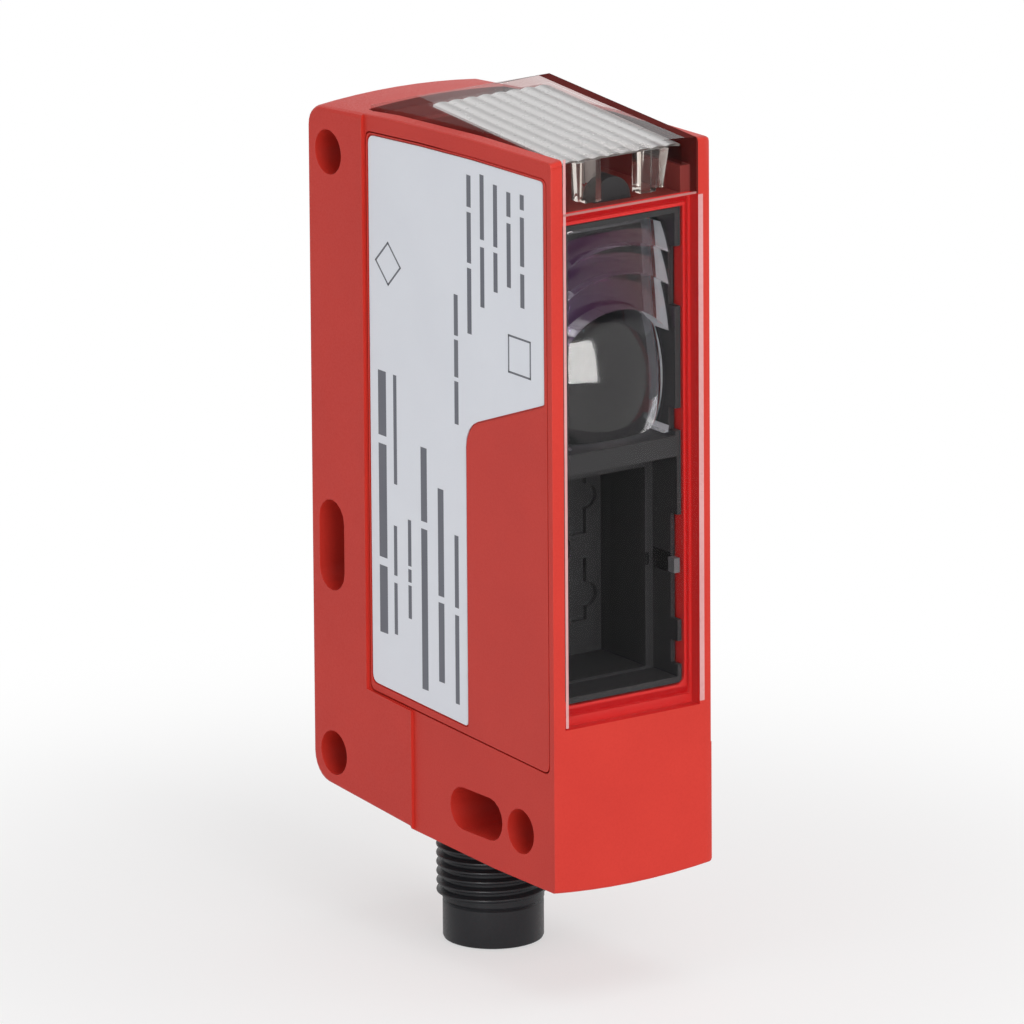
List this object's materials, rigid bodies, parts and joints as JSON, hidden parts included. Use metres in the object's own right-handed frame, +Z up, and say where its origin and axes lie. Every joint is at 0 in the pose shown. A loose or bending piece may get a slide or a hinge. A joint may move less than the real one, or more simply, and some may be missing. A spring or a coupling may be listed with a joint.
{
  "type": "background suppression sensor",
  "caption": "Narrow upright photoelectric sensor with a stepped receiver lens and emitter behind a clear front, an indicator roof, side label and M12 plug.",
  "frame": {"origin": "on the plain mounting side, midway between the two rear fixing holes", "axes": "+X out of the mounting side, -Y the way the optics look, +Z up towards the indicator roof, with the plug pointing down"},
  "size_m": [0.0205, 0.044, 0.0922],
  "materials": {
    "red_moulding": "satin",
    "red_cover": "satin",
    "label_film": "satin",
    "clear_plastic": "polished",
    "light_guide_plastic": "polished",
    "black_moulding": "matt",
    "lens_plastic": "polished",
    "barrel_metal": "black anodised",
    "coated_glass": "polished",
    "diode_metal": "plated",
    "board_laminate": "lacquered",
    "lever_plastic": "matt",
    "mirror_glass": "polished",
    "steel": "bright",
    "spindle_brass": "turned",
    "seal_rubber": "matt",
    "nut_plastic": "satin",
    "package_black": "satin",
    "capacitor_body": "satin",
    "lamp_green": "clear",
    "lamp_yellow": "clear",
    "plug_plastic": "satin",
    "contact_gold": "gold plated",
    "lead_film": "satin"
  },
  "bodies": {
    "sensor": {"housing": "red_moulding", "side_cover": "red_cover", "type_label": "label_film", "window_cover": "clear_plastic", "light_guide": "light_guide_plastic", "optics_frame": "black_moulding", "receiver_lens": "lens_plastic", "emitter_barrel": "barrel_metal", "collimator_lens": "coated_glass", "emitter_diode": "diode_metal", "emitter_board": "board_laminate", "lever_pin": "steel", "spindle_seal": "seal_rubber", "receiver_board": "board_laminate", "receiver_diode": "package_black", "main_board": "board_laminate", "board_screw_1": "steel", "board_screw_2": "steel", "controller_chip": "package_black", "voltage_regulator": "package_black", "capacitor_1": "capacitor_body", "capacitor_2": "capacitor_body", "indicator_board": "board_laminate", "green_lamp": "lamp_green", "yellow_lamp": "lamp_yellow", "connector_shell": "plug_plastic", "connector_nut": "spindle_brass", "connector_seal": "seal_rubber", "contact_carrier": "plug_plastic", "contact_pin_1": "contact_gold", "contact_pin_2": "contact_gold", "contact_pin_3": "contact_gold", "contact_pin_4": "contact_gold", "connector_board": "board_laminate", "flex_lead": "lead_film"},
    "spindle": {"range_spindle": "spindle_brass", "spindle_clip": "steel"},
    "nut": {"adjusting_nut": "nut_plastic"},
    "lever": {"mirror_lever": "lever_plastic", "receiver_mirror": "mirror_glass"}
  },
  "joints": [
    {"name": "range_turn", "type": "hinge", "parent": "sensor", "child": "spindle", "pos_m": [-0.01025, 0, 0.024], "axis": [0, 1, 0], "range_deg": [-1440, 1440]},
    {"name": "nut_slide", "type": "slide", "parent": "sensor", "child": "nut", "axis": [0, 1, 0], "range_m": [-0.002, 0.002]},
    {"name": "lever_tilt", "type": "hinge", "parent": "sensor", "child": "lever", "pos_m": [-0.01025, -0.0139, 0.006], "axis": [1, 0, 0], "range_deg": [-6.4, 6.4]}
  ],
  "couplings": [
    {"joint": "range_turn", "follows": "nut_slide", "rad_per_m": -12566},
    {"joint": "lever_tilt", "follows": "nut_slide", "rad_per_m": -55.556}
  ]
}
